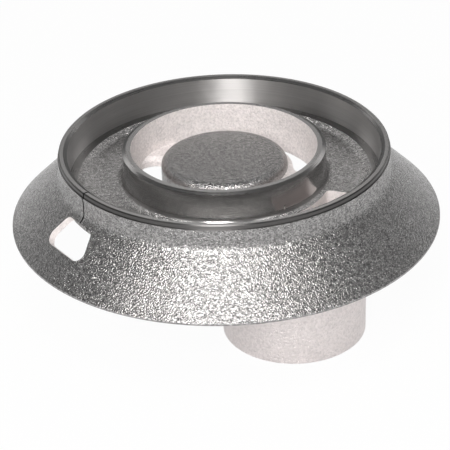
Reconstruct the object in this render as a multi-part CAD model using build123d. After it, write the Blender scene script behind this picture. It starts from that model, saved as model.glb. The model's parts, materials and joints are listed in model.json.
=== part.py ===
from build123d import *
import math
import os

# Gas burner head, cast in one piece of aluminium alloy and turned at its seats.
# Millimetres, +Z up. The burner axis is Z, and zero is the open end of the inlet spigot.

# Skirt: the flared cone that covers the pan hole of the hob
skirt_diameter = 120.0
skirt_edge_height = 0.5
skirt_wall = 2.1
flank_height = 14.1

# Neck and turned rim above the skirt
neck_diameter = 92.0
neck_fillet = 3.0
rim_height = 21.1
rim_width = 2.3
rim_chamfer = 0.3
rim_bevel_width = 1.0
rim_bevel_drop = 0.6
turned_band_height = 1.4
turned_step = 0.3

# Turned recess, the ledge that the cap stands on, and the ring channel for the gas
recess_depth = 8.7
recess_draft = 0.1
ledge_width = 2.5
channel_depth = 10.0
channel_slope = 1.8
channel_fillet = 2.4
channel_wall = 2.2
floor_thickness = 3.0
underside_bevel = 1.2

# Collar round the air opening in the middle
collar_bore = 51.8
collar_wall = 2.3
collar_drop = 0.4
collar_bevel_width = 1.0
collar_bevel_drop = 0.55

# Boss in the air opening, cored out below
boss_diameter = 35.2
boss_drop = 4.0
boss_edge_radius = 2.2
boss_plate = 2.8
boss_wall = 2.8

# Arm behind the boss, and web in front of it in line with the spigot
arm_angle = 136.0
arm_width = 7.0
arm_depth = 2.8
arm_fillet = 4.5
arm_bevel = 1.2
web_width = 17.0
web_drop = 3.1
web_root_shift = 1.8
web_fillet = 6.0

# Inlet spigot, off the axis below the channel
spigot_diameter = 40.2
spigot_wall = 3.0
spigot_drop = 29.6
spigot_angle = -39.0
spigot_inset = 1.9
spigot_chamfer = 0.4
duct_roof_rise = 1.0
duct_roof_taper = 0.4
duct_roof = 2.5

# Port from the spigot up into the channel
port_angle = 37.0
port_inner_margin = 1.7
port_outer_margin = 0.4
port_corner = 1.2

# Ignition window in the flank, and the saw cut that leads from it to the recess
window_angle = -145.0
window_top_width = 11.3
window_foot_width = 18.4
window_length = 9.0
window_top_corner = 2.0
window_foot_corner = 2.7
window_raise = 3.15
slit_width = 0.5
slit_bite = 0.9

# Heights above the end of the spigot
foot_z = spigot_drop
rim_z = foot_z + rim_height
ledge_z = rim_z - recess_depth
floor_z = rim_z - channel_depth
under_z = floor_z - floor_thickness
collar_z = rim_z - collar_drop
boss_z = rim_z - boss_drop
web_z = boss_z - web_drop
roof_z = under_z + duct_roof_rise
ceiling_z = roof_z - duct_roof

# Radii about the burner axis
skirt_r = skirt_diameter / 2
neck_r = neck_diameter / 2
band_r = neck_r - turned_step
recess_r = band_r - rim_width
ledge_outer_r = recess_r - recess_draft
ledge_inner_r = ledge_outer_r - ledge_width
floor_outer_r = ledge_inner_r - channel_slope
pocket_r = ledge_outer_r + channel_wall
bore_r = collar_bore / 2
collar_r = bore_r + collar_wall
boss_r = boss_diameter / 2
spigot_r = spigot_diameter / 2
spigot_bore_r = spigot_r - spigot_wall

# Flank of the skirt: its slope, and the inner face that keeps the wall even
flank_edge_z = foot_z + skirt_edge_height
flank_top_z = foot_z + flank_height
flank_slope = math.atan2(flank_top_z - flank_edge_z, skirt_r - neck_r)
flank_length = math.hypot(flank_top_z - flank_edge_z, skirt_r - neck_r)
flank_span = skirt_wall / math.sin(flank_slope)
edge_run = skirt_edge_height / math.tan(flank_slope)
foot_inner_r = skirt_r + edge_run - flank_span
pocket_z = foot_z + (foot_inner_r - pocket_r) * math.tan(flank_slope)
pocket_bevel = min(underside_bevel, 0.4 * abs(pocket_z - under_z))

# The spigot stands inside the wall of the channel
spigot_offset = pocket_r - spigot_r - spigot_inset
spigot_x = spigot_offset * math.cos(math.radians(spigot_angle))
spigot_y = spigot_offset * math.sin(math.radians(spigot_angle))


def rounded(face, corner, radius):
    """Round the corner of a flat face that lies nearest to a point."""
    nearest = face.vertices().sort_by_distance(corner)[0]
    return fillet(nearest, radius)


def bevelled(face, corner, length):
    """Bevel the corner of a flat face that lies nearest to a point."""
    nearest = face.vertices().sort_by_distance(corner)[0]
    return chamfer(nearest, length)


def ring_section():
    """Half section of the skirt, neck, channel and collar, in radius and height."""
    outline = Polyline(
        (skirt_r, foot_z),
        (skirt_r, flank_edge_z),
        (neck_r, flank_top_z),
        (neck_r, rim_z - turned_band_height),
        (band_r, rim_z - turned_band_height),
        (band_r, rim_z - rim_chamfer),
        (band_r - rim_chamfer, rim_z),
        (recess_r + rim_bevel_width, rim_z),
        (recess_r, rim_z - rim_bevel_drop),
        (ledge_outer_r, ledge_z),
        (ledge_inner_r, ledge_z),
        (floor_outer_r, floor_z),
        (collar_r, floor_z),
        (collar_r, collar_z - collar_bevel_drop),
        (collar_r - collar_bevel_width, collar_z),
        (bore_r, collar_z),
        (bore_r, under_z),
        (pocket_r, under_z),
        (pocket_r, pocket_z),
        (foot_inner_r, foot_z),
        close=True,
    )
    section = make_face(outline)
    section = rounded(section, (neck_r, flank_top_z), neck_fillet)
    section = rounded(section, (floor_outer_r, floor_z), channel_fillet)
    section = rounded(section, (collar_r, floor_z), channel_fillet)
    section = bevelled(section, (pocket_r, pocket_z), pocket_bevel)
    section = bevelled(section, (pocket_r, under_z), pocket_bevel)
    return section


def ring_body():
    """The turned ring: skirt, neck, recess, channel and collar in one revolve."""
    return revolve(Plane.XZ * ring_section(), Axis.Z)


def boss_body():
    """Round boss with a rolled edge, hollow underneath."""
    outline = Polyline(
        (0, boss_z),
        (boss_r, boss_z),
        (boss_r, under_z),
        (boss_r - boss_wall, under_z),
        (boss_r - boss_wall, boss_z - boss_plate),
        (0, boss_z - boss_plate),
        close=True,
    )
    section = rounded(make_face(outline), (boss_r, boss_z), boss_edge_radius)
    section = bevelled(section, (boss_r - boss_wall, boss_z - boss_plate), underside_bevel)
    return revolve(Plane.XZ * section, Axis.Z)


def arm_body():
    """Arm that ties the boss to the collar, swept into the collar in plan and bevelled on top."""
    start = boss_r - boss_wall / 2
    bar = Rectangle(bore_r + collar_wall / 2 - start, arm_width, align=(Align.MIN, Align.CENTER))
    plan = Circle(collar_r) - Circle(bore_r) + Pos(start, 0) * bar
    along = math.sqrt(bore_r**2 - (arm_width / 2) ** 2)
    for side in (-1, 1):
        plan = rounded(plan, (along, side * arm_width / 2), arm_fillet)
    arm = extrude(Pos(0, 0, under_z) * plan, arm_depth)
    top_sides = arm.edges().filter_by(Axis.X).group_by(Axis.Z)[-1]
    return Rot(0, 0, arm_angle) * chamfer(top_sides, arm_bevel)


def web_body():
    """Web over the duct roof, flaring into the boss in plan."""
    root = Pos(web_root_shift, 0) * Circle(boss_r)
    reach = bore_r + collar_wall / 2
    plate = Pos(reach / 2, 0) * Rectangle(reach, web_width)
    plan = root + plate
    meeting = math.sqrt(boss_r**2 - (web_width / 2) ** 2) + web_root_shift
    for side in (-1, 1):
        plan = rounded(plan, (meeting, side * web_width / 2), web_fillet)
    core = Circle(boss_r - boss_wall)
    web = extrude(Pos(0, 0, under_z) * (plan - core), web_z - under_z)
    return Rot(0, 0, spigot_angle) * web


def spigot_body():
    """Solid of the spigot, with the duct roof that closes it in the air opening."""
    outline = Polyline(
        (0, 0),
        (spigot_r - spigot_chamfer, 0),
        (spigot_r, spigot_chamfer),
        (spigot_r, under_z),
        (spigot_r - duct_roof_taper, roof_z),
        (0, roof_z),
        close=True,
    )
    return Pos(spigot_x, spigot_y, 0) * revolve(Plane.XZ * make_face(outline), Axis.Z)


def spigot_bore():
    """Bore of the spigot, closed above by the duct roof."""
    return extrude(Pos(spigot_x, spigot_y, 0) * Circle(spigot_bore_r), ceiling_z)


def port_cut():
    """Kidney-shaped port through the channel floor into the spigot."""
    inner_r = collar_r + port_inner_margin
    outer_r = floor_outer_r - port_outer_margin
    half = math.radians(port_angle / 2)
    sector = make_face(
        Polyline(
            (0, 0),
            (2 * outer_r * math.cos(half), 2 * outer_r * math.sin(half)),
            (2 * outer_r * math.cos(half), -2 * outer_r * math.sin(half)),
            close=True,
        )
    )
    plan = (Circle(outer_r) - Circle(inner_r)) & sector
    plan = fillet(plan.vertices(), port_corner)
    cut = extrude(Pos(0, 0, ceiling_z - duct_roof) * plan, ledge_z - ceiling_z + duct_roof)
    return Rot(0, 0, spigot_angle) * cut


def window_cut():
    """Window through the flank, square to its face and wider towards the foot."""
    along = flank_length / 2 + window_raise
    centre = Vector(
        skirt_r - along * math.cos(flank_slope),
        0,
        flank_edge_z + along * math.sin(flank_slope),
    )
    outward = Vector(math.sin(flank_slope), 0, math.cos(flank_slope))
    flank_plane = Plane(origin=centre, x_dir=(0, 1, 0), z_dir=outward)
    opening = make_face(
        Polyline(
            (window_top_width / 2, window_length / 2),
            (-window_top_width / 2, window_length / 2),
            (-window_foot_width / 2, -window_length / 2),
            (window_foot_width / 2, -window_length / 2),
            close=True,
        )
    )
    for side in (-1, 1):
        opening = rounded(opening, (side * window_top_width / 2, window_length / 2), window_top_corner)
        opening = rounded(opening, (side * window_foot_width / 2, -window_length / 2), window_foot_corner)
    cut = extrude(flank_plane * opening, skirt_wall * 1.5, both=True)
    return Rot(0, 0, window_angle) * cut


def slit_cut():
    """Saw cut from the window up through the neck and the rim."""
    along = flank_length / 2 + window_raise
    bottom_z = flank_edge_z + along * math.sin(flank_slope)
    inner_r = ledge_outer_r - slit_bite
    depth = skirt_r - inner_r
    height = rim_z - bottom_z + turned_band_height
    blade = Box(depth, slit_width, height, align=(Align.MIN, Align.CENTER, Align.MIN))
    return Rot(0, 0, window_angle) * (Pos(inner_r, 0, bottom_z) * blade)


def burner_head():
    """The whole casting."""
    body = ring_body() + boss_body() + arm_body() + web_body() + spigot_body()
    body = body - spigot_bore() - port_cut() - window_cut() - slit_cut()
    return body


os.makedirs("parts", exist_ok=True)
casting = burner_head()
export_step(casting, "parts/burner_head.step")
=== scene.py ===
import json
import math

import bmesh
import bpy
from bpy.props import FloatProperty, FloatVectorProperty, IntProperty, PointerProperty
from mathutils import Matrix, Vector


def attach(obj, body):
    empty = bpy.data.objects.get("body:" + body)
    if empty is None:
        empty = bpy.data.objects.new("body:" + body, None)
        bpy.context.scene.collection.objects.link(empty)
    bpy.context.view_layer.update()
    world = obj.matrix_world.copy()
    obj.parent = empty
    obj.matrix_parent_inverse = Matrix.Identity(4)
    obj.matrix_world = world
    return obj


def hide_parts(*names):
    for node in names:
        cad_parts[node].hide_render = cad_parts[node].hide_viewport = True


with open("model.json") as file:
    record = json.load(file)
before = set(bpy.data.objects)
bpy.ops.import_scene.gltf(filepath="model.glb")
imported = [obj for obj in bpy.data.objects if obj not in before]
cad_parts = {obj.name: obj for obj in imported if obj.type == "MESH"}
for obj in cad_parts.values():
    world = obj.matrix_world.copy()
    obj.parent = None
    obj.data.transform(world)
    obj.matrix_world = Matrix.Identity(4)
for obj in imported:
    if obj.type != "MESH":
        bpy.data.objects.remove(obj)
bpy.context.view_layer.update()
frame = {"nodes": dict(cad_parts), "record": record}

bl_info = {
    "name": "Gas burner head",
    "version": (1, 0, 0),
    "blender": (4, 5, 0),
    "location": "View3D > Sidebar > Burner",
    "description": "Dresses the cast burner head and sets it on a pale studio floor",
    "category": "Object",
}

NODE = "burner_head"
PIECE = "burner_casting"
MM = 0.001


def mount(name):
    """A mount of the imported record, by its name."""
    return next(row for row in frame["record"]["mounts"] if row["name"] == name)


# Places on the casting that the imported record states
SPIGOT_AXIS = Vector(mount("inlet_spigot")["pos_m"]).to_2d()
SPIGOT_RADIUS = mount("inlet_spigot")["dims"]["r_mm"] * MM
SPIGOT_BORE = mount("gas_inlet")["dims"]["r_mm"] * MM
SPIGOT_ROOT = mount("inlet_spigot")["dims"]["length_mm"] * MM
LEDGE_HEIGHT = mount("cap_ledge")["pos_m"][2]
COLLAR_HEIGHT = mount("collar_face")["pos_m"][2]
FOOT_HEIGHT = mount("skirt_foot")["pos_m"][2]

# What a face is finished by, and the names of the mesh attributes that the relief tree reads
CAST, CHANNEL, WALL, FLAT, BAND_AND_SLIT_SHADE, POLISHED, PALE, SPIGOT, CUT = range(9)
FINISH_NAME = "finish"
RELIEF_NAME = "relief"

# How a face is sorted: the room left round a seat, and the shares of a unit normal along a direction
SLACK = 0.1 * MM
SQUARE_ON = 0.9
STEEP = 0.75
HALFWAY = 0.5
UPRIGHT = 0.4
LOWEST_SHOWN = -0.05

# How the mesh is made
MERGE_DISTANCE = 0.002 * MM
SHARP_ANGLE = math.radians(25.0)
SPLIT_PASSES = 6
FLOOR_SIDES = 96

# Cast skin: its patterns against the grain's scale, the grain's share of the pits, and its roughness
PATCH_SCALE = 0.09
FLECK_SCALE = 0.45
PIT_GRAIN_SHARE = 0.45
CAST_ROUGHNESS = 0.16
PATCH_ROUGHNESS = 0.1

# Turned metal: the turn that lays the glints across the rings, and the rings' and the wear's strength
ACROSS_RINGS = 0.25
RING_STRETCH = 1.5
RING_DEPTH = 0.02
RING_ROUGHNESS = 0.06
WEAR_SCALE = 0.05
WEAR_ROUGHNESS = 0.06

# Dull skins: their patterns against the grain's scale, the grain's share, and the clouds' roughness
DULL_GRAIN_SCALE = 0.6
CLOUD_SCALE = 0.12
DULL_GRAIN_SHARE = 0.8
CLOUD_ROUGHNESS = 0.1

# Soft boxes: degrees round from the front and above the floor, watts, and metres where not the usual
SOFT_BOXES = {
    "front_box": {"azimuth": -9.0, "elevation": 31.0, "power": 3.6},
    "top_box": {"azimuth": -6.0, "elevation": 58.0, "power": 1.9},
    "left_box": {"azimuth": -50.0, "elevation": 40.0, "power": 0.15},
    "right_box": {"azimuth": 45.0, "elevation": 40.0, "power": 0.25},
    "rear_box": {"azimuth": 180.0, "elevation": 38.0, "power": 0.45,
                 "distance": 0.9, "width": 0.36, "depth": 0.3},
    "rear_left_box": {"azimuth": -138.0, "elevation": 26.0, "power": 0.3},
    "rear_right_box": {"azimuth": 138.0, "elevation": 26.0, "power": 0.3},
}
BOX_DISTANCE = 0.75
BOX_SIDE = 0.26
BOX_AIM = Vector((0.0, 0.0, 40.0 * MM))
NEAREST_SEEN = 10.0 * MM


class BurnerSeats(bpy.types.PropertyGroup):
    """Where the lathe and the saw have been."""

    neck_radius: FloatProperty(
        name="Neck radius",
        description="Cast outside of the neck, just larger than the turned band above it",
        default=46.0 * MM, unit="LENGTH", precision=5)
    rim_flat_radius: FloatProperty(
        name="Rim flat radius",
        description="Outer edge of the rim's flat top, where the chamfer and the dark band begin",
        default=45.4 * MM, unit="LENGTH", precision=5)
    ledge_inner_radius: FloatProperty(
        name="Ledge inner radius",
        description="Inner edge of the ledge that the cap stands on",
        default=40.8 * MM, unit="LENGTH", precision=5)
    channel_drop: FloatProperty(
        name="Channel drop",
        description="How far the channel's floor lies below the ledge",
        default=1.3 * MM, unit="LENGTH", precision=5)
    port_depth: FloatProperty(
        name="Port depth",
        description="How far the gas port's cut walls reach below the root of the spigot",
        default=2.6 * MM, unit="LENGTH", precision=5)
    collar_radius: FloatProperty(
        name="Collar radius",
        description="Turned outside of the collar",
        default=28.2 * MM, unit="LENGTH", precision=5)
    collar_fillet: FloatProperty(
        name="Collar fillet",
        description="Rounding between the collar and the channel's floor",
        default=2.4 * MM, unit="LENGTH", precision=5)
    collar_edge: FloatProperty(
        name="Collar edge",
        description="How far down from the collar's top a face that looks up is part of that top",
        default=1.3 * MM, unit="LENGTH", precision=5)
    collar_bore: FloatProperty(
        name="Collar bore radius",
        description="Cast inside of the collar",
        default=25.9 * MM, unit="LENGTH", precision=5)
    boss_radius: FloatProperty(
        name="Boss radius",
        description="Outside of the boss in the air opening",
        default=17.6 * MM, unit="LENGTH", precision=5)
    window_angle: FloatProperty(
        name="Window angle",
        description="Angle of the ignition window round the burner axis",
        default=math.radians(-145.0), subtype="ANGLE")
    window_reach: FloatProperty(
        name="Window reach",
        description="Half the widest opening of the window",
        default=9.4 * MM, unit="LENGTH", precision=5)
    saw_reach: FloatProperty(
        name="Saw reach",
        description="Half the width of the saw cut, and a little more",
        default=0.3 * MM, unit="LENGTH", precision=5)


class BurnerFinish(bpy.types.PropertyGroup):
    """Grain, turning marks and colours of the metal."""

    grain_size: FloatProperty(
        name="Grain size",
        description="Spacing of the cast grain",
        default=0.42 * MM, unit="LENGTH", precision=5)
    grain_depth: FloatProperty(
        name="Grain depth",
        description="Depth of the cast grain in the bump",
        default=0.3 * MM, unit="LENGTH", precision=5)
    relief_size: FloatProperty(
        name="Relief size",
        description="Spacing of the hollows that the mould leaves in the skin",
        default=2.0 * MM, unit="LENGTH", precision=5)
    relief_depth: FloatProperty(
        name="Relief depth",
        description="Greatest depth of those hollows in the mesh",
        default=0.05 * MM, unit="LENGTH", precision=5)
    relief_seed: IntProperty(
        name="Relief seed",
        description="Picks one pattern of hollows",
        default=4)
    fine_edge: FloatProperty(
        name="Fine edge",
        description="Mesh edges longer than this are halved on the cast faces that show",
        default=1.0 * MM, unit="LENGTH", precision=5)
    coarse_edge: FloatProperty(
        name="Coarse edge",
        description="Mesh edges longer than this are halved on all faces",
        default=3.0 * MM, unit="LENGTH", precision=5)
    turning_pitch: FloatProperty(
        name="Turning pitch",
        description="Spacing of the fine rings that the lathe leaves",
        default=0.35 * MM, unit="LENGTH", precision=5)
    cast_colour: FloatVectorProperty(
        name="Cast colour",
        description="Grit-blasted aluminium",
        default=(0.425, 0.42, 0.417), subtype="COLOR", min=0.0, max=1.0)
    # Painted light: the channel's floor takes the cast skin in a lighter colour, standing in for light that
    # the channel's walls keep off it.
    channel_painted_light_colour: FloatVectorProperty(
        name="Channel colour",
        description="Cast skin of the ring channel, painted lighter as painted light on its shaded floor",
        default=(0.66, 0.65, 0.643), subtype="COLOR", min=0.0, max=1.0)
    turned_colour: FloatVectorProperty(
        name="Turned colour",
        description="Aluminium where the lathe has cut the wall of the recess",
        default=(0.62, 0.611, 0.605), subtype="COLOR", min=0.0, max=1.0)
    flat_colour: FloatVectorProperty(
        name="Flat colour",
        description="Top of the rim, the ledge and the collar's top",
        default=(0.3, 0.296, 0.293), subtype="COLOR", min=0.0, max=1.0)
    # Also painted shade: the saw cut's walls take this dark colour for the shade inside the narrow slit.
    band_and_slit_shade_colour: FloatVectorProperty(
        name="Band colour",
        description="Dark outside of the rim, and painted shade on the walls of the saw cut",
        default=(0.15, 0.147, 0.145), subtype="COLOR", min=0.0, max=1.0)
    polished_colour: FloatVectorProperty(
        name="Polished colour",
        description="Smooth outside of the collar",
        default=(0.5, 0.493, 0.488), subtype="COLOR", min=0.0, max=1.0)
    pale_colour: FloatVectorProperty(
        name="Pale colour",
        description="Dull, lighter skin of the collar's inside, and of the cut edges",
        default=(0.95, 0.895, 0.88), subtype="COLOR", min=0.0, max=1.0)
    spigot_colour: FloatVectorProperty(
        name="Spigot colour",
        description="Light grey skin of the inlet spigot",
        default=(0.9, 0.84, 0.83), subtype="COLOR", min=0.0, max=1.0)


class BurnerStage(bpy.types.PropertyGroup):
    """Floor, room, lamps and camera."""

    floor_colour: FloatVectorProperty(
        name="Floor colour",
        description="Pale floor below the part",
        default=(0.9, 0.9, 0.9), subtype="COLOR", min=0.0, max=1.0)
    floor_radius: FloatProperty(
        name="Floor radius",
        description="Radius of the round floor",
        default=6.0, unit="LENGTH")
    floor_white: FloatProperty(
        name="Floor white",
        description="Share of plain white in what the camera sees of the floor",
        default=0.96, min=0.0, max=1.0, subtype="FACTOR")
    floor_mirrored: FloatProperty(
        name="Floor mirrored",
        description="Share of plain white in what the metal mirrors of the floor",
        default=0.5, min=0.0, max=1.0, subtype="FACTOR")
    room_colour: FloatVectorProperty(
        name="Room colour",
        description="Grey of the room that the metal mirrors",
        default=(0.2, 0.2, 0.2), subtype="COLOR", min=0.0, max=1.0)
    lamp_colour: FloatVectorProperty(
        name="Lamp colour",
        description="Slightly warm white of the soft boxes",
        default=(1.0, 0.98, 0.97), subtype="COLOR", min=0.0, max=1.0)
    camera_distance: FloatProperty(
        name="Camera distance",
        description="From the camera to the point that it looks at",
        default=0.5012, unit="LENGTH")
    camera_elevation: FloatProperty(
        name="Camera elevation",
        description="Height of the camera above the horizon",
        default=math.radians(29.69), subtype="ANGLE")
    camera_roll: FloatProperty(
        name="Camera roll",
        description="Turn of the camera about its own line of sight",
        default=math.radians(-1.924), subtype="ANGLE")
    camera_lens: FloatProperty(
        name="Lens",
        description="Focal length on a sensor 36 mm wide",
        default=141.42, unit="CAMERA")
    camera_aim: FloatVectorProperty(
        name="Aim",
        description="Point that the camera looks at",
        default=(-0.42 * MM, 0.0, 24.79 * MM), subtype="TRANSLATION", unit="LENGTH", precision=5)


class Wire:
    """A socket in a node tree. Arithmetic on it adds Math nodes, and add() puts in any other node."""

    def __init__(self, tree, socket=None):
        self.tree = tree
        self.socket = socket

    def add(self, kind, settings=None, sockets=None, output=0):
        """Add a node: its type, its settings, and the values or wires of its sockets."""
        node = self.tree.nodes.new(kind)
        for name, value in (settings or {}).items():
            setattr(node, name, value)
        for name, value in (sockets or {}).items():
            if isinstance(value, Wire):
                self.tree.links.new(value.socket, node.inputs[name])
            else:
                node.inputs[name].default_value = value
        return Wire(self.tree, node.outputs[output] if node.outputs else None)

    def outputs(self):
        """Wires from all outputs of this socket's node, by name."""
        return {socket.name: Wire(self.tree, socket) for socket in self.socket.node.outputs}

    def math(self, operation, first, second):
        """Add one Math node."""
        return self.add("ShaderNodeMath", {"operation": operation}, {0: first, 1: second})

    def __add__(self, other):
        return self.math("ADD", self, other)

    def __radd__(self, other):
        return self.math("ADD", other, self)

    def __mul__(self, other):
        return self.math("MULTIPLY", self, other)

    def __rmul__(self, other):
        return self.math("MULTIPLY", other, self)

    def __truediv__(self, other):
        return self.math("DIVIDE", self, other)

    def __rtruediv__(self, other):
        return self.math("DIVIDE", other, self)

    def __pow__(self, other):
        return self.math("POWER", self, other)

    def __rpow__(self, other):
        return self.math("POWER", other, self)


def setting_groups():
    """The three groups of settings on the scene."""
    scene = bpy.context.scene
    return scene.burner_seats, scene.burner_finish, scene.burner_stage


def opaque(colour):
    """A colour with full alpha, as colour sockets take it."""
    return (*colour, 1.0)


def shaded(colour, factor):
    """A colour made lighter or darker, with full alpha."""
    return opaque([min(1.0, part * factor) for part in colour])


def new_metal(name):
    """A metal material: the material, its principled shader and a wire into its tree."""
    material = bpy.data.materials.new(name)
    material.use_nodes = True
    shader = material.node_tree.nodes["Principled BSDF"]
    shader.inputs["Metallic"].default_value = 1.0
    return material, shader, Wire(material.node_tree)


def link(wire, shader, socket):
    """Lead a wire into a socket of the shader."""
    wire.tree.links.new(wire.socket, shader.inputs[socket])


def object_place(tree):
    """Object coordinates."""
    return tree.add("ShaderNodeTexCoord").outputs()["Object"]


def noise(tree, vector, scale, detail, roughness):
    """Plain noise between 0 and 1."""
    sockets = {"Vector": vector, "Scale": scale, "Detail": detail, "Roughness": roughness}
    return tree.add("ShaderNodeTexNoise", None, sockets)


def ramp(tree, value, low, high):
    """Value from low to high, spread over 0 to 1 and held there."""
    sockets = {0: value, 1: low, 2: high}
    return tree.add("ShaderNodeMapRange", {"clamp": True}, sockets)


def paint(tree, shader, share, colour, darkest, lightest):
    """Colour the shader between two shades of one colour, by a share between 0 and 1."""
    shades = {0: share, 6: shaded(colour, darkest), 7: shaded(colour, lightest)}
    link(tree.add("ShaderNodeMix", {"data_type": "RGBA"}, shades, output=2), shader, "Base Color")


def emboss(tree, shader, height, distance):
    """Bump the shader by a height between 0 and 1."""
    link(tree.add("ShaderNodeBump", None, {"Distance": distance, "Height": height}), shader, "Normal")


def cast_skin(name, finish, colour):
    """Grit-blasted casting: a grain of small lumps, which sparkle where the light strikes."""
    material, shader, tree = new_metal(name)
    place = object_place(tree)
    grain = noise(tree, place, 1 / finish.grain_size, detail=1.5, roughness=0.6)
    patches = noise(tree, place, PATCH_SCALE / finish.grain_size, detail=2.0, roughness=0.5)
    flecks = noise(tree, place, FLECK_SCALE / finish.grain_size, detail=2.0, roughness=0.7)
    mixed = grain * PIT_GRAIN_SHARE + flecks * (1 - PIT_GRAIN_SHARE)
    pits = ramp(tree, mixed, low=0.4, high=0.58)
    paint(tree, shader, pits, colour, darkest=0.62, lightest=1.2)
    link(CAST_ROUGHNESS + patches * PATCH_ROUGHNESS, shader, "Roughness")
    emboss(tree, shader, grain, finish.grain_depth)
    return material


def rings_round_axis(tree, place, pitch):
    """Noise drawn out into rings round the burner axis."""
    parts = tree.add("ShaderNodeSeparateXYZ", None, {0: place}).outputs()
    x, y, z = parts["X"], parts["Y"], parts["Z"]
    radius = (x * x + y * y) ** 0.5
    angle = tree.math("ARCTAN2", y, x)
    rings = {"X": radius / pitch, "Y": z / pitch, "Z": angle * RING_STRETCH}
    return noise(tree, tree.add("ShaderNodeCombineXYZ", None, rings), 1.0, detail=3.0, roughness=0.6)


def lathe_metal(name, finish, colour, roughness, streak):
    """Aluminium cut on the lathe: fine rings, which draw the light out across them."""
    material, shader, tree = new_metal(name)
    shader.inputs["Anisotropic"].default_value = streak
    shader.inputs["Anisotropic Rotation"].default_value = ACROSS_RINGS
    place = object_place(tree)
    rings = rings_round_axis(tree, place, finish.turning_pitch)
    wear = noise(tree, place, WEAR_SCALE / finish.turning_pitch, detail=3.0, roughness=0.6)
    paint(tree, shader, ramp(tree, rings, low=0.3, high=0.7), colour, darkest=0.9, lightest=1.04)
    link(roughness + rings * RING_ROUGHNESS + wear * WEAR_ROUGHNESS, shader, "Roughness")
    emboss(tree, shader, rings, RING_DEPTH * finish.turning_pitch)
    return material


def dull_skin(name, finish, colour, metallic, roughness, depth, mottle):
    """Dull light skin: its grain is depth times as deep as the cast one, and mottle darkens its hollows."""
    material, shader, tree = new_metal(name)
    shader.inputs["Metallic"].default_value = metallic
    place = object_place(tree)
    grain = noise(tree, place, DULL_GRAIN_SCALE / finish.grain_size, detail=3.0, roughness=0.7)
    clouds = noise(tree, place, CLOUD_SCALE / finish.grain_size, detail=3.0, roughness=0.6)
    mixed = grain * DULL_GRAIN_SHARE + clouds * (1 - DULL_GRAIN_SHARE)
    paint(tree, shader, ramp(tree, mixed, low=0.35, high=0.6), colour, darkest=1.0 - mottle, lightest=1.05)
    link(roughness + clouds * CLOUD_ROUGHNESS, shader, "Roughness")
    emboss(tree, shader, grain, depth * finish.grain_depth)
    return material


def finish_materials(finish):
    """One material for each finish, in the order of their numbers."""
    return [
        cast_skin("cast_skin", finish, finish.cast_colour),
        # A lighter copy of the cast skin: painted light on the shaded channel floor.
        cast_skin("channel_skin_painted_light", finish, finish.channel_painted_light_colour),
        lathe_metal("turned_wall", finish, finish.turned_colour, roughness=0.33, streak=0.9),
        lathe_metal("turned_flat", finish, finish.flat_colour, roughness=0.22, streak=0.5),
        # The dark band's material also paints shade on the walls of the saw cut.
        lathe_metal("turned_band_and_slit_shade", finish, finish.band_and_slit_shade_colour, roughness=0.3, streak=0.9),
        lathe_metal("polished_collar", finish, finish.polished_colour, roughness=0.12, streak=0.0),
        dull_skin("pale_skin", finish, finish.pale_colour,
                  metallic=0.2, roughness=0.45, depth=1.4, mottle=0.24),
        dull_skin("spigot_skin", finish, finish.spigot_colour,
                  metallic=0.9, roughness=0.3, depth=1.3, mottle=0.16),
        dull_skin("cut_metal", finish, finish.pale_colour,
                  metallic=0.15, roughness=0.4, depth=0.8, mottle=0.15),
    ]


def merged_copy(name):
    """The CAD node's triangles, joined into one closed surface."""
    surface = bmesh.new()
    surface.from_mesh(frame["nodes"][name].data)
    bmesh.ops.remove_doubles(surface, verts=surface.verts, dist=MERGE_DISTANCE)
    return surface


def finish_of(face, seats):
    """The finish of a face, by where it lies and which way it looks."""
    centre = face.calc_center_median()
    height, up = centre.z, face.normal.z
    flat = centre.to_2d()
    radius = flat.length
    outwards = face.normal.to_2d().dot(flat.normalized())
    window_line = Vector((math.cos(seats.window_angle), math.sin(seats.window_angle)))
    ahead = flat.dot(window_line)
    beside = abs(flat.cross(window_line))
    sideways = abs(face.normal.to_2d().cross(window_line))
    # Walls of the saw cut, given the dark band's colour as painted shade in the narrow slit
    if ahead > seats.ledge_inner_radius and beside < seats.saw_reach and sideways > SQUARE_ON:
        return BAND_AND_SLIT_SHADE
    # Edges of the window, which stand across the skirt's flank
    if height > FOOT_HEIGHT + SLACK and ahead > seats.neck_radius and beside < seats.window_reach:
        along_flank = face.normal.dot(Vector((*window_line, 1.0)).normalized())
        if abs(along_flank) < UPRIGHT:
            return CUT
    # Rim, recess and ledge
    on_rim = seats.ledge_inner_radius - SLACK < radius < seats.neck_radius - SLACK
    if on_rim and height > LEDGE_HEIGHT - SLACK:
        if radius > seats.rim_flat_radius and outwards > HALFWAY:
            return BAND_AND_SLIT_SHADE
        return FLAT if up > HALFWAY else WALL
    # Top and outside of the collar
    if seats.collar_bore + SLACK < radius < seats.collar_radius + seats.collar_fillet:
        if height > COLLAR_HEIGHT - seats.collar_edge and up > HALFWAY:
            return FLAT
        if height > LEDGE_HEIGHT - seats.channel_drop + SLACK / 2 and outwards > STEEP:
            return POLISHED
    # Walls of the gas port, and the channel's floor
    if seats.collar_radius + SLACK < radius < seats.ledge_inner_radius:
        if height > SPIGOT_ROOT - seats.port_depth and abs(up) < UPRIGHT:
            return CUT
        # The channel's floor takes the lighter copy of the cast skin, as painted light.
        if height > SPIGOT_ROOT and up > UPRIGHT:
            return CHANNEL
    from_spigot = (flat - SPIGOT_AXIS).length
    if SPIGOT_BORE - SLACK < from_spigot < SPIGOT_RADIUS + SLACK and height < SPIGOT_ROOT:
        return SPIGOT
    # Inside of the collar, and what crosses the air opening
    if seats.boss_radius + SLACK < radius < seats.collar_bore + SLACK:
        return PALE
    return CAST


def shows(face):
    """Whether a face is cast and can be seen from above or from the side."""
    return face.material_index in (CAST, CHANNEL) and face.normal.z > LOWEST_SHOWN


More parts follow.
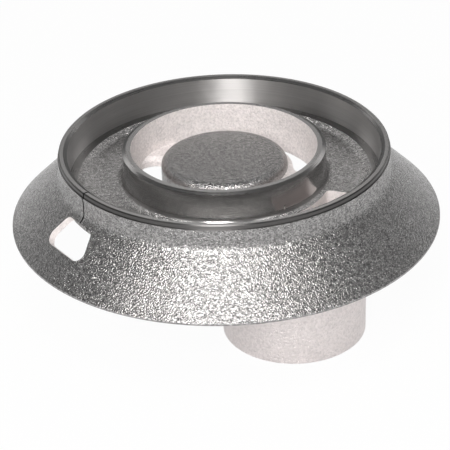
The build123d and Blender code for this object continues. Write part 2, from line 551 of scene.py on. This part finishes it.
def split_long_edges(surface, finish):
    """Mark the sharp edges, and halve the long ones, more finely on the cast faces that show."""
    for edge in surface.edges:
        edge.smooth = edge.calc_face_angle(math.pi) < SHARP_ANGLE
    for _ in range(SPLIT_PASSES):
        long_edges = []
        for edge in surface.edges:
            length = edge.calc_length()
            if length > finish.coarse_edge:
                long_edges.append(edge)
            elif length > finish.fine_edge and any(shows(face) for face in edge.link_faces):
                long_edges.append(edge)
        bmesh.ops.subdivide_edges(surface, edges=long_edges, cuts=1, use_grid_fill=False)
        bmesh.ops.triangulate(surface, faces=[face for face in surface.faces if len(face.verts) > 3])
        surface.normal_update()


def plain_mesh(surface, materials):
    """The surface as a mesh that carries its finish by face and its share of relief by vertex."""
    surface.verts.ensure_lookup_table()
    relief = [float(all(shows(face) for face in vertex.link_faces)) for vertex in surface.verts]
    mesh = bpy.data.meshes.new(PIECE)
    surface.to_mesh(mesh)
    surface.free()
    for material in materials:
        mesh.materials.append(material)
    numbers = [face.material_index for face in mesh.polygons]
    mesh.attributes.new(FINISH_NAME, "INT", "FACE").data.foreach_set("value", numbers)
    mesh.attributes.new(RELIEF_NAME, "FLOAT", "POINT").data.foreach_set("value", relief)
    mesh.polygons.foreach_set("use_smooth", [True] * len(numbers))
    return mesh


def relief_tree(materials):
    """Node tree that sinks hollows into the cast skin and gives each finish its material."""
    tree = bpy.data.node_groups.new("cast_relief", "GeometryNodeTree")
    inputs = {"Geometry": "Geometry", "Relief size": "Float", "Relief depth": "Float", "Seed": "Int"}
    inputs.update({material.name: "Material" for material in materials})
    for name, kind in inputs.items():
        tree.interface.new_socket(name, in_out="INPUT", socket_type="NodeSocket" + kind)
    tree.interface.new_socket("Geometry", in_out="OUTPUT", socket_type="NodeSocketGeometry")
    wire = Wire(tree)
    given = wire.add("NodeGroupInput").outputs()
    pattern = {"W": given["Seed"], "Scale": 1 / given["Relief size"], "Detail": 1.0}
    hollows = wire.add("ShaderNodeTexNoise", {"noise_dimensions": "4D"}, pattern)
    share = wire.add("GeometryNodeInputNamedAttribute", {"data_type": "FLOAT"}, {"Name": RELIEF_NAME})
    depth = hollows * share * given["Relief depth"]
    normal = wire.add("GeometryNodeInputNormal")
    inwards = wire.add("ShaderNodeVectorMath", {"operation": "SCALE"}, {0: normal, "Scale": depth * -1.0})
    shape = wire.add("GeometryNodeSetPosition", None, {"Geometry": given["Geometry"], "Offset": inwards})
    shape = wire.add("GeometryNodeRealizeInstances", None, {"Geometry": shape})
    finish = wire.add("GeometryNodeInputNamedAttribute", {"data_type": "INT"}, {"Name": FINISH_NAME})
    equal = {"data_type": "INT", "operation": "EQUAL"}
    for number, material in enumerate(materials):
        same = wire.add("FunctionNodeCompare", equal, {2: finish, 3: number})
        painted = {"Geometry": shape, "Selection": same, "Material": given[material.name]}
        shape = wire.add("GeometryNodeSetMaterial", None, painted)
    wire.add("NodeGroupOutput", None, {"Geometry": shape})
    return tree


def run_tree(holder, tree, values):
    """Run a node tree on an object with the given inputs, and keep the outcome as its plain mesh."""
    modifier = holder.modifiers.new(tree.name, "NODES")
    modifier.node_group = tree
    for item in tree.interface.items_tree:
        if item.in_out == "INPUT" and item.name in values:
            modifier[item.identifier] = values[item.name]
    graph = bpy.context.evaluated_depsgraph_get()
    mesh = bpy.data.meshes.new_from_object(holder.evaluated_get(graph))
    holder.modifiers.remove(modifier)
    holder.data = mesh
    for name in (FINISH_NAME, RELIEF_NAME):
        mesh.attributes.remove(mesh.attributes[name])


class BURNER_OT_casting(bpy.types.Operator):
    """Make the casting: a finer copy of the CAD body with its grain, its turned seats and its cut edges"""

    bl_idname = "burner.casting"
    bl_label = "Casting"

    def execute(self, context):
        seats, finish, _ = setting_groups()
        materials = finish_materials(finish)
        surface = merged_copy(NODE)
        for face in surface.faces:
            face.material_index = finish_of(face, seats)
        split_long_edges(surface, finish)
        casting = bpy.data.objects.new(PIECE, plain_mesh(surface, materials))
        context.scene.collection.objects.link(casting)
        values = {material.name: material for material in materials}
        values["Relief size"] = finish.relief_size
        values["Relief depth"] = finish.relief_depth
        values["Seed"] = finish.relief_seed
        run_tree(casting, relief_tree(materials), values)
        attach(casting, "root")
        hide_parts(NODE)
        return {"FINISHED"}


def pale_floor(stage):
    """Round floor at the foot of the part. It looks white, and keeps a faint shadow."""
    surface = bmesh.new()
    bmesh.ops.create_circle(surface, cap_ends=True, segments=FLOOR_SIDES, radius=stage.floor_radius)
    mesh = bpy.data.meshes.new("floor")
    surface.to_mesh(mesh)
    surface.free()
    material = bpy.data.materials.new("pale_floor")
    material.use_nodes = True
    material.node_tree.nodes.clear()
    tree = Wire(material.node_tree)
    path = tree.add("ShaderNodeLightPath").outputs()
    mirrored = tree.math("MAXIMUM", path["Is Glossy Ray"], path["Is Transmission Ray"])
    shown = path["Is Camera Ray"] * stage.floor_white + mirrored * stage.floor_mirrored
    plain = tree.add("ShaderNodeBsdfDiffuse", None, {"Color": opaque(stage.floor_colour)})
    white = tree.add("ShaderNodeEmission", None, {"Strength": 1.0})
    mixed = tree.add("ShaderNodeMixShader", None, {0: shown, 1: plain, 2: white})
    tree.add("ShaderNodeOutputMaterial", None, {"Surface": mixed})
    mesh.materials.append(material)
    floor = bpy.data.objects.new("floor", mesh)
    bpy.context.scene.collection.objects.link(floor)
    return floor


def grey_room(colour):
    """World of one plain colour."""
    world = bpy.data.worlds.new("room")
    world.use_nodes = True
    world.node_tree.nodes["Background"].inputs["Color"].default_value = opaque(colour)
    return world


def soft_box(name, colour, azimuth, elevation, power, distance=BOX_DISTANCE, width=BOX_SIDE, depth=BOX_SIDE):
    """An area lamp that faces the part, placed by degrees round from the front and above the floor."""
    lamp = bpy.data.lights.new(name, "AREA")
    lamp.shape = "RECTANGLE"
    lamp.size = width
    lamp.size_y = depth
    lamp.energy = power
    lamp.color = colour
    turn, rise = math.radians(azimuth), math.radians(elevation)
    away = Vector((math.sin(turn) * math.cos(rise), -math.cos(turn) * math.cos(rise), math.sin(rise)))
    holder = bpy.data.objects.new(name, lamp)
    holder.location = BOX_AIM + away * distance
    holder.rotation_euler = (-away).to_track_quat("-Z", "Y").to_euler()
    bpy.context.scene.collection.objects.link(holder)


def front_camera(stage):
    """Camera in front of the part, which looks down on it."""
    camera = bpy.data.cameras.new("camera")
    camera.lens = stage.camera_lens
    camera.clip_start = NEAREST_SEEN
    holder = bpy.data.objects.new("camera", camera)
    sight = Vector((0.0, math.cos(stage.camera_elevation), -math.sin(stage.camera_elevation)))
    place = Matrix.Translation(Vector(stage.camera_aim) - sight * stage.camera_distance)
    facing = sight.to_track_quat("-Z", "Y").to_matrix().to_4x4()
    holder.matrix_world = place @ facing @ Matrix.Rotation(stage.camera_roll, 4, "Z")
    bpy.context.scene.collection.objects.link(holder)
    return holder


class BURNER_OT_stage(bpy.types.Operator):
    """Set up the floor, the room, the lamps and the camera"""

    bl_idname = "burner.stage"
    bl_label = "Stage"

    def execute(self, context):
        _, _, stage = setting_groups()
        pale_floor(stage)
        context.scene.view_settings.view_transform = "Standard"
        context.scene.world = grey_room(stage.room_colour)
        for name, box in SOFT_BOXES.items():
            soft_box(name, stage.lamp_colour, **box)
        context.scene.camera = front_camera(stage)
        return {"FINISHED"}


class BURNER_PT_panel(bpy.types.Panel):
    """The burner head's settings and steps"""

    bl_idname = "BURNER_PT_panel"
    bl_label = "Gas burner head"
    bl_space_type = "VIEW_3D"
    bl_region_type = "UI"
    bl_category = "Burner"

    def draw(self, context):
        for group, operator in zip(setting_groups(), (None, "burner.casting", "burner.stage")):
            column = self.layout.column(align=True)
            for name in group.__annotations__:
                column.prop(group, name)
            if operator:
                column.operator(operator)


CLASSES = (BurnerSeats, BurnerFinish, BurnerStage, BURNER_OT_casting, BURNER_OT_stage, BURNER_PT_panel)


def register():
    """Register the classes and hang the settings on the scene."""
    for made in CLASSES:
        bpy.utils.register_class(made)
    bpy.types.Scene.burner_seats = PointerProperty(type=BurnerSeats)
    bpy.types.Scene.burner_finish = PointerProperty(type=BurnerFinish)
    bpy.types.Scene.burner_stage = PointerProperty(type=BurnerStage)


def unregister():
    """Take the settings off the scene and unregister the classes."""
    del bpy.types.Scene.burner_stage
    del bpy.types.Scene.burner_finish
    del bpy.types.Scene.burner_seats
    for made in reversed(CLASSES):
        bpy.utils.unregister_class(made)


def main():
    """Register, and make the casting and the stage."""
    register()
    bpy.ops.burner.casting()
    bpy.ops.burner.stage()


if __name__ == "__main__":
    main()
